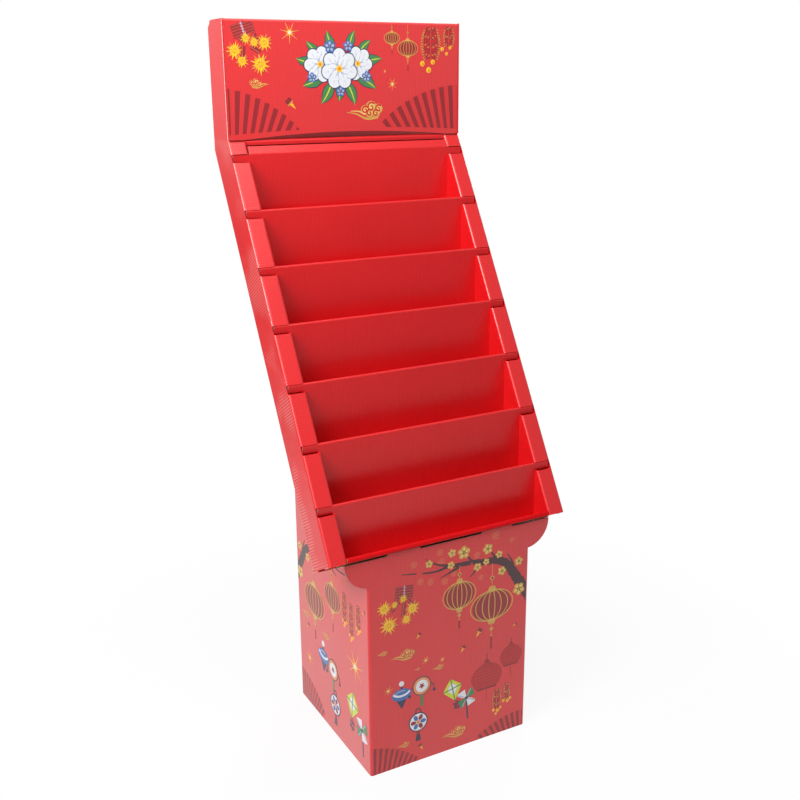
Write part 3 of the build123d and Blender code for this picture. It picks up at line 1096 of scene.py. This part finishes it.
def silk_ball(pen, across, up, size, layer=4):
    """A ball of panels with a loop and a tassel."""
    ball = Stamp(pen, across, up, size)
    ball.stroke("navy", layer, arc(0, 0.42, 0.12, 0.18, 0.0, 180.0, 10), 0.05)
    ball.disc("navy", layer, (0, 0), 0.43, segments=26)
    ball.disc("white", layer + 1, (0, 0), 0.38, segments=26)
    for step in range(6):
        angle, ink = 60.0 * step, ("blue", "maroon")[step % 2]
        ball.disc(ink, layer + 2, polar(0, 0, angle, 0.22), 0.13, 0.09, angle, 12)
    ball.star("orange", layer + 3, (0, 0), 0.12, 6, 0.6)
    ball.stroke("navy", layer, ((0, -0.4), (0, -0.85)), 0.1, 0.24)
    ball.stroke("maroon", layer + 1, ((0, -0.42), (0, -0.56)), 0.14)


def leaf(pen, across, up, size, turn, layer=2):
    """A pointed leaf with a light vein."""
    blade = Stamp(pen, across, up, size, turn)
    spine = [(share, 0.06 * math.sin(3.0 * share)) for share in (0.0, 0.25, 0.5, 0.75, 1.0)]
    blade.stroke("navy", layer, spine, 0.08, 0.44, 0.5, 0.34, 0.0)
    blade.stroke("green", layer + 1, spine, 0.04, 0.37, 0.43, 0.27, 0.0)
    blade.stroke("lime", layer + 2, spine, 0.06, 0.06, 0.05, 0.04, 0.0)


def bouquet(pen, across, up):
    """Three white flowers among green leaves, with small blue ones between them."""
    leaves = (
        (-40, -18, 62, 205), (-20, -34, 60, 240), (18, -36, 58, 292), (44, -22, 62, 330), (-58, 8, 54, 170),
        (62, 6, 54, 12), (-12, 34, 50, 112), (26, 36, 48, 70), (0, -30, 52, 266), (-50, 28, 44, 140),
        (52, 30, 44, 42),
    )
    for shift, lift, size, turn in leaves:
        leaf(pen, across + shift, up + lift, size, turn)
    for shift, lift, size, turn, layer in ((-50, 4, 40, 80, 5), (49, 6, 38, 100, 7), (0, -6, 46, 90, 9)):
        white_flower(pen, across + shift, up + lift, size, turn, layer)
    for shift, lift, size in ((-24, 44, 15), (24, 46, 13), (-72, -26, 12), (72, -24, 13), (2, -58, 12)):
        blossom(pen, across + shift, up + lift, size, 12, "blue", "mist", "navy")


def white_flower(pen, across, up, size, turn, layer):
    """A full flower: an outer and an inner ring of petals, each edged and shaded, and a gold heart."""
    flower, edging = Stamp(pen, across, up, size), PETAL_EDGING / size
    for ring, (count, reach, wide) in enumerate(((7, 0.62, 0.40), (6, 0.34, 0.30))):
        level, high = layer + ring, 0.94 * wide
        for step in range(count):
            angle = turn + 360.0 * (step + 0.5 * ring) / count
            near, middle, inset, far = [
                polar(0, 0, angle, away) for away in (reach - 0.6 * wide, reach, reach + 0.04, reach + 0.2)
            ]
            if ring == 0:
                flower.disc("navy", level - 1, middle, wide + edging, high + edging, angle, 18)
            flower.disc("mist", level, middle, wide, high, angle, 18)
            flower.disc("white", level, inset, 0.90 * wide, 0.84 * wide, angle, 18)
            flower.stroke("mist", level, (near, far), 0.05, 0.012)
    flower.star("flame", layer + 2, (0, 0), 0.22, 12, 0.66)
    flower.disc("ember", layer + 3, (0, 0), 0.09, segments=10)


# Layout of the print, in millimetres from the middle of a panel and from the floor.

FRONT_SHIFT = (2.0, -5.0)
SIDE_SHIFT = (6.0, -2.0)
# Lower and upper edges of the base's print.
PRINT_FOOT, FRONT_TOP, SIDE_TOP = 1.0, 552.0, 560.0
TRUNK = [
    (226, 360), (214, 376), (191, 408), (171, 439), (148, 469), (120, 483), (88, 486), (56, 492), (19, 495),
    (-12, 497), (-53, 493), (-133, 506),
]
TRUNK_WIDTHS, TWIG_WIDTHS = (34, 2), (8.0, 1.4)
# Runs of points along the trunk between the gaps that the dry brush left.
DRY_SPANS = ((0, 43), (43, 63), (63, None))
TWIGS = [
    [(-2, 499), (-38, 508), (-71, 530)], [(19, 490), (-7, 481), (-33, 473)],
    [(56, 493), (45, 506), (34, 525)], [(170, 456), (164, 474), (152, 493)],
    [(72, 480), (60, 466), (48, 456)], [(120, 486), (112, 500), (99, 514)],
]
BLOSSOMS = [
    (31, 523, 17), (97, 517, 14), (188, 391, 17), (138, 451, 12), (186, 465, 12), (-1, 529, 11),
    (69, 477, 11), (-4, 499, 10), (-62, 516, 10), (129, 496, 10), (93, 485, 9),
]
FADED_BLOSSOMS = [
    (119, 547, 9), (-33, 538, 7), (-29, 513, 8), (-102, 523, 7), (-85, 477, 7), (-58, 470, 7),
    (-20, 462, 7), (4, 476, 6), (79, 448, 6), (164, 525, 6), (67, 508, 7),
]
# Lower ends of the fans' folds: on the base, and over the header's arch, which falls off to both sides.
BASE_REST = -8.0
ARCH_REST, ARCH_FALL, ARCH_HALF = 1456.0, 10.0, 300.0
COINS = ((-9, 3, 4.0), (3, 7, 4.5), (11, 1, 3.5), (-2, 15, 3.5))


def branch_of_blossom(pen, side=1, lift=0.0):
    """A dark branch from one edge, with its twigs and blossoms. side is -1 to turn it round."""

    def placed(points):
        return [(side * x, y + lift) for x, y in points]

    trunk = curve(placed(TRUNK))
    thick, thin = TRUNK_WIDTHS
    last = len(trunk) - 1
    widths = [thin + (thick - thin) * (1.0 - step / last) ** 1.05 for step in range(last + 1)]
    knots = [width * (1.0 + 0.10 * math.sin(2.1 * step)) for step, width in enumerate(widths)]
    for first, end in DRY_SPANS:
        pen.stroke("bark", 2, trunk[first:end], knots[first:end])
    for twig in TWIGS:
        pen.stroke("bark", 2, curve(placed(twig)), *TWIG_WIDTHS)
    for across, up, size in FADED_BLOSSOMS:
        faded_blossom(pen, side * across, up + lift, 1.25 * size)
    for step, (across, up, size) in enumerate(BLOSSOMS):
        blossom(pen, side * across, up + lift, size, turn=90.0 + 17.0 * step)


def flat_rest(_across):
    """Lower ends of folds that reach the floor."""
    return BASE_REST


def arched_rest(across):
    """Lower ends of folds that keep clear of the header's arch."""
    return ARCH_REST - ARCH_FALL * (across / ARCH_HALF) ** 2


def draw_base_front(pen):
    """The base's front: branch, lanterns, crackers, clouds, toys and fans."""
    fan(pen, -212.0, -180.0, 1, 258.0, 226.0, 33.0, 9, flat_rest, 0.0)
    fan(pen, 214.0, -180.0, -1, 230.0, 240.0, 37.0, 9, flat_rest, 0.0)
    branch_of_blossom(pen)
    lantern(pen, 20.0, 416.0, 45.0, 35.0, 492.0, 330.0)
    lantern(pen, 111.0, 367.0, 60.0, 40.0, 476.0, 250.0)
    striped_lantern(pen, 100.0, 183.0, 44.0, 38.0, 112.0)
    striped_lantern(pen, 170.0, 220.0, 32.0, 30.0, 158.0)
    cracker_rack(pen, -127.0, 460.0, 46.0, 34.0, -4.0)
    for start, end in (((-127, 436), (-131, 402)), ((-140, 440), (-160, 420)), ((-116, 440), (-104, 424))):
        tube(pen, start, end, 6.5, 3)
    for step, (across, up, size) in enumerate((
        (-178, 432, 17), (-152, 436, 9), (-130, 446, 10), (-106, 416, 17), (-122, 392, 13),
        (-167, 388, 21),
    )):
        burst(pen, across, up, size, 5, 11.0 * step)
    for across, up, size, turn in (
        (-89, 342, 13, 230), (76, 305, 19, 235), (32, 273, 15, 235), (180, 297, 10, 200), (-85, 42, 14, 300)
    ):
        squib(pen, across, up, size, turn)
    for across, up, wide in (
        (-131, 302, 62), (-185, 321, 26), (-94, 255, 14), (-38, 243, 30), (8, 50, 66), (-132, 62, 32)
    ):
        cloud(pen, across, up, wide)
    for across, up, size in ((-71, 271, 11), (-26, 260, 8), (-171, 220, 12)):
        sparkle(pen, across, up, size)
    cracker_string(pen, 131.0, 133.0, 78.0, 22.0, COINS)
    cracker_string(pen, 160.0, 140.0, 96.0, 15.0, COINS[:3])
    spinning_top(pen, -136.0, 196.0, 52.0)
    rattle_drum(pen, -82.0, 196.0, 54.0)
    kite(pen, 4.0, 166.0, 58.0, 12.0)
    pinwheel(pen, 42.0, 124.0, 56.0, 20.0)
    silk_ball(pen, -92.0, 112.0, 60.0)


def draw_base_side(pen):
    """A side of the base, as seen on the left: the branch comes from the back edge."""
    fan(pen, -205.0, -180.0, 1, 267.0, 250.0, 36.0, 10, flat_rest, 0.0)
    branch_of_blossom(pen, -1, -24.0)
    lantern(pen, -104.0, 322.0, 60.0, 43.0, 450.0, 215.0)
    lantern(pen, 5.0, 380.0, 46.0, 35.0, 470.0, 290.0)
    for across, top, bottom in ((72.0, 424.0, 352.0), (108.0, 412.0, 330.0), (146.0, 424.0, 366.0)):
        cracker_string(pen, across, top, bottom, 24.0, COINS)
    cloud(pen, -160.0, 264.0, 46.0)
    cloud(pen, -38.0, 258.0, 40.0)
    squib(pen, -150.0, 232.0, 15.0, 235.0)
    squib(pen, 176.0, 420.0, 12.0, 215.0)
    sparkle(pen, -146.0, 140.0, 20.0)
    sparkle(pen, 124.0, 256.0, 40.0)
    spinning_top(pen, -58.0, 186.0, 62.0)
    rattle_drum(pen, -2.0, 168.0, 60.0)
    silk_ball(pen, 6.0, 86.0, 66.0)
    kite(pen, 104.0, 138.0, 70.0, -8.0)
    pinwheel(pen, 154.0, 88.0, 66.0, 10.0)


def draw_header(pen):
    """The header's front: crackers, lanterns, clouds and fans round a spray of flowers."""
    fan(pen, -306.0, 1207.0, 1, 342.0, 304.0, 35.0, 8, arched_rest, 0.3)
    fan(pen, 306.0, 1207.0, -1, 346.0, 338.0, 39.5, 9, arched_rest, 0.48)
    cracker_rack(pen, -262.0, 1678.0, 54.0, 30.0, 18.0)
    for start, end in (
        ((-263, 1641), (-265, 1608)), ((-244, 1640), (-222, 1628)), ((-272, 1660), (-262, 1650)),
        ((-236, 1668), (-230, 1654)),
    ):
        tube(pen, start, end, 8.0, 3)
    for step, (across, up, size) in enumerate((
        (-284, 1631, 18), (-256, 1658, 12), (-236, 1650, 12), (-211, 1649, 17), (-267, 1609, 14),
        (-223, 1602, 21),
    )):
        burst(pen, across, up, size, 5, 13.0 * step)
    cloud(pen, -228.0, 1560.0, 48.0, facing=-1)
    cloud(pen, 44.0, 1496.0, 98.0)
    sparkle(pen, -148.0, 1672.0, 24.0)
    sparkle(pen, 120.0, 1556.0, 14.0)
    sparkle(pen, 100.0, 1586.0, 5.0)
    squib(pen, -152.0, 1515.0, 24.0, 315.0)
    lantern(pen, 120.0, 1663.0, 21.0, 14.0, 1697.0, 1628.0)
    lantern(pen, 164.0, 1640.0, 28.0, 18.5, 1697.0, 1588.0)
    cracker_string(pen, 229.0, 1690.0, 1616.0, 48.0, ((-24, 12, 6.5), (6, 8, 6.0), (-6, 27, 7.0)))
    cracker_string(pen, 281.0, 1692.0, 1648.0, 28.0, ((-19, 9, 5.0), (-6, 20, 4.0), (4, 6, 4.0)))
    bouquet(pen, -23.0, 1598.0)


# The floor's own grey, and how near and far from the stand it turns to white, in metres.
FLOOR_GREY = 0.86
WHITE_FROM, WHITE_TO = 0.4, 1.5

# Width of the camera's sensor in millimetres.
SENSOR_WIDTH = 36.0

# Where each lamp hangs, in metres, and its side.
LAMPS = {
    "key": ((-1.6, -1.8, 2.3), 1.2),
    "top": ((-0.3, -0.6, 2.9), 1.4),
    "side": ((-2.4, -0.8, 2.6), 1.6),
    "back": ((2.4, 2.2, 2.2), 1.8),
}

# Operators, one for each piece or group of like pieces.


class STAND_OT_dress_base(bpy.types.Operator):
    """Finish the base in red film, with raw cut edges and a plain inside"""

    bl_idname = "stand.dress_base"
    bl_label = "Dress base"

    def execute(self, context):
        veil = context.scene.stand_finish.veil
        board = board_material("base_board", ACROSS_PANEL, base_edges, base_inside, veil=veil)
        dress("base_wrap", board)
        return {"FINISHED"}


class STAND_OT_dress_tray(bpy.types.Operator):
    """Finish the tray, with worn folds down its columns"""

    bl_idname = "stand.dress_tray"
    bl_label = "Dress tray"

    def execute(self, context):
        board = board_material("tray_board", ACROSS_TRAY, tray_edges, tray_inside, tray_wear, tray_sides)
        dress("tray_body", board)
        return {"FINISHED"}


class STAND_OT_dress_shelves(bpy.types.Operator):
    """Finish the six shelves, the back of the top pocket and the tray's floor, whose underside is darkened
    by painted shade
    """

    bl_idname = "stand.dress_shelves"
    bl_label = "Dress shelves"

    def execute(self, context):
        board = board_material("shelf_board", ACROSS_SHELF, end_faces, paper="liner", hollows=lip_hollows)
        for node in SHELVES + ["top_back_panel"]:
            dress(node, board)
        # The floor's underside is darkened by painted shade.
        floor = board_material(
            "tray_floor_board", ACROSS_SHELF, end_faces, tray_underside, painted_shade=FLOOR_SHADE, index=FLOOR_INDEX
        )
        dress("tray_floor", floor)
        return {"FINISHED"}


class STAND_OT_dress_header(bpy.types.Operator):
    """Finish the header's card and its floor"""

    bl_idname = "stand.dress_header"
    bl_label = "Dress header"

    def execute(self, context):
        veil = context.scene.stand_finish.header_veil
        board = board_material(
            "header_board", ACROSS_PANEL, header_edges, header_inside, shadow=header_under, veil=veil
        )
        dress("header_card", board)
        floor = board_material("header_floor_board", ACROSS_SHELF, end_faces, header_floor_inside)
        dress("header_floor", floor)
        return {"FINISHED"}


class STAND_OT_print_base_front(bpy.types.Operator):
    """Print the base's front"""

    bl_idname = "stand.print_base_front"
    bl_label = "Print base front"

    def execute(self, context):
        pen = Pen()
        draw_base_front(pen)
        half = (BASE_HALF - FOLD) / MM
        aside, lift = FRONT_SHIFT
        pen.trim((-half - aside, PRINT_FOOT - lift), (half - aside, FRONT_TOP - lift))
        origin = Vector((aside * MM, BASE_LO.y, lift * MM))
        pen.finish("base_front_print", panel_place(origin, Vector((1.0, 0.0, 0.0))))
        return {"FINISHED"}


class STAND_OT_print_base_sides(bpy.types.Operator):
    """Print the base's two sides, the right one turned round"""

    bl_idname = "stand.print_base_sides"
    bl_label = "Print base sides"

    def execute(self, context):
        half = (BASE_HI.y - FOLD) / MM
        aside, lift = SIDE_SHIFT
        for name, side in (("base_left_print", -1.0), ("base_right_print", 1.0)):
            pen = Pen()
            draw_base_side(pen)
            pen.trim((-half - aside, PRINT_FOOT - lift), (half - aside, SIDE_TOP))
            origin = Vector((side * BASE_HALF, -aside * MM, lift * MM))
            place = panel_place(origin, Vector((0.0, side, 0.0)))
            pen.finish(name, place, mirrored=side > 0.0)
        return {"FINISHED"}


class STAND_OT_print_header(bpy.types.Operator):
    """Print the header's front"""

    bl_idname = "stand.print_header"
    bl_label = "Print header"

    def execute(self, context):
        pen = Pen()
        draw_header(pen)
        half = HEADER_HI.x / MM - 0.5
        pen.trim((-half, HEADER_LO.z / MM), (half, (HEADER_HI.z - FOLD) / MM))
        pen.finish("header_print", panel_place(Vector((0.0, HEADER_LO.y, 0.0)), Vector((1.0, 0.0, 0.0))))
        return {"FINISHED"}


class STAND_OT_set_stage(bpy.types.Operator):
    """Lay the white floor, hang the lamps and set the camera"""

    bl_idname = "stand.set_stage"
    bl_label = "Set stage"

    def execute(self, context):
        lay_floor(context.scene)
        light_room(context.scene)
        for name, (place, side) in LAMPS.items():
            hang_lamp(context.scene, name, place, side)
        set_camera(context.scene)
        context.scene.view_settings.view_transform = "Standard"
        return {"FINISHED"}


def lay_floor(scene):
    """A plain white floor that keeps the stand's shadow and turns to pure white further off."""
    stage = scene.stand_stage
    shape = bmesh.new()
    bmesh.ops.create_grid(shape, x_segments=1, y_segments=1, size=stage.floor_half)
    mesh = bpy.data.meshes.new("floor")
    shape.to_mesh(mesh)
    shape.free()
    floor = bpy.data.objects.new("floor", mesh)
    scene.collection.objects.link(floor)
    graph = Surface("floor_white")
    graph.material.cycles.emission_sampling = "NONE"
    matt = graph.node("ShaderNodeBsdfDiffuse")
    matt.inputs["Color"].default_value = (FLOOR_GREY, FLOOR_GREY, FLOOR_GREY, 1.0)
    glow = graph.node("ShaderNodeEmission")
    away = graph.node("ShaderNodeVectorMath", operation="LENGTH")
    graph.feed(away.inputs[0], graph.place)
    white = graph.node("ShaderNodeMapRange", interpolation_type="SMOOTHSTEP")
    limits = {"From Min": WHITE_FROM, "From Max": WHITE_TO, "To Min": stage.floor_white, "To Max": 1.0}
    for name, value in limits.items():
        white.inputs[name].default_value = value
    graph.feed(white.inputs["Value"], away.outputs["Value"])
    path = graph.node("ShaderNodeLightPath").outputs
    seen = graph.both(path["Is Camera Ray"], white.outputs["Result"])
    mirrored = graph.both(
        graph.either(path["Is Glossy Ray"], path["Is Transmission Ray"]),
        graph.below(away.outputs["Value"], stage.gloss_reach),
    )
    mixed = graph.node("ShaderNodeMixShader")
    graph.feed(mixed.inputs[0], graph.either(seen, mirrored))
    graph.feed(mixed.inputs[1], matt.outputs[0])
    graph.feed(mixed.inputs[2], glow.outputs[0])
    graph.feed(graph.node("ShaderNodeOutputMaterial").inputs["Surface"], mixed.outputs[0])
    mesh.materials.append(graph.material)


def light_room(scene):
    """Even light all round, seen as white."""
    world = bpy.data.worlds.new("room")
    world.use_nodes = True
    world.cycles.sampling_method = "NONE"
    graph = Graph(world.node_tree)
    graph.tree.nodes.clear()
    even, white = graph.node("ShaderNodeBackground"), graph.node("ShaderNodeBackground")
    for back, strength in ((even, scene.stand_stage.room_light), (white, 1.0)):
        back.inputs["Color"].default_value = (1.0, 1.0, 1.0, 1.0)
        back.inputs["Strength"].default_value = strength
    mixed = graph.node("ShaderNodeMixShader")
    path = graph.node("ShaderNodeLightPath").outputs
    graph.feed(
        mixed.inputs[0],
        graph.either(path["Is Camera Ray"], path["Is Glossy Ray"], path["Is Transmission Ray"]),
    )
    graph.feed(mixed.inputs[1], even.outputs[0])
    graph.feed(mixed.inputs[2], white.outputs[0])
    graph.feed(graph.node("ShaderNodeOutputWorld").inputs["Surface"], mixed.outputs[0])
    scene.world = world


def hang_lamp(scene, name, place, side):
    """A square soft lamp that faces the middle of the stand."""
    lamp = bpy.data.lights.new(f"{name}_lamp", "AREA")
    lamp.shape = "SQUARE"
    lamp.size = side
    lamp.energy = getattr(scene.stand_stage, f"{name}_watts")
    made = bpy.data.objects.new(f"{name}_lamp", lamp)
    middle = (CAD_BOX[0] + CAD_BOX[1]) / 2
    made.location = place
    made.rotation_euler = (middle - made.location).to_track_quat("-Z", "Y").to_euler()
    scene.collection.objects.link(made)


def set_camera(scene):
    """The photograph's view."""
    stage = scene.stand_stage
    lens = bpy.data.cameras.new("camera")
    lens.lens = stage.camera_lens
    lens.sensor_width = SENSOR_WIDTH
    camera = bpy.data.objects.new("camera", lens)
    level = Matrix.Rotation(math.pi / 2 - stage.camera_pitch, 4, "X")
    turn = Matrix.Rotation(-stage.camera_yaw, 4, "Z") @ level @ Matrix.Rotation(stage.camera_roll, 4, "Z")
    camera.matrix_world = Matrix.Translation(stage.camera_place) @ turn
    scene.collection.objects.link(camera)
    scene.camera = camera


STEPS = (
    STAND_OT_dress_base, STAND_OT_dress_tray, STAND_OT_dress_shelves, STAND_OT_dress_header,
    STAND_OT_print_base_front, STAND_OT_print_base_sides, STAND_OT_print_header, STAND_OT_set_stage,
)


class STAND_PT_panel(bpy.types.Panel):
    """The stand's steps, in order"""

    bl_idname = "STAND_PT_panel"
    bl_label = "Display Stand"
    bl_space_type = "VIEW_3D"
    bl_region_type = "UI"
    bl_category = "Display Stand"

    def draw(self, context):
        for step in STEPS:
            self.layout.operator(step.bl_idname)


GROUPS = {"stand_finish": StandFinish, "stand_inks": StandInks, "stand_stage": StandStage}
CLASSES = (*GROUPS.values(), *STEPS, STAND_PT_panel)


def register():
    for kind in CLASSES:
        bpy.utils.register_class(kind)
    for name, kind in GROUPS.items():
        setattr(bpy.types.Scene, name, PointerProperty(type=kind))


def unregister():
    for name in GROUPS:
        delattr(bpy.types.Scene, name)
    for kind in reversed(CLASSES):
        bpy.utils.unregister_class(kind)


def main():
    register()
    bpy.ops.stand.dress_base()
    bpy.ops.stand.dress_tray()
    bpy.ops.stand.dress_shelves()
    bpy.ops.stand.dress_header()
    bpy.ops.stand.print_base_front()
    bpy.ops.stand.print_base_sides()
    bpy.ops.stand.print_header()
    bpy.ops.stand.set_stage()


if __name__ == "__main__":
    main()
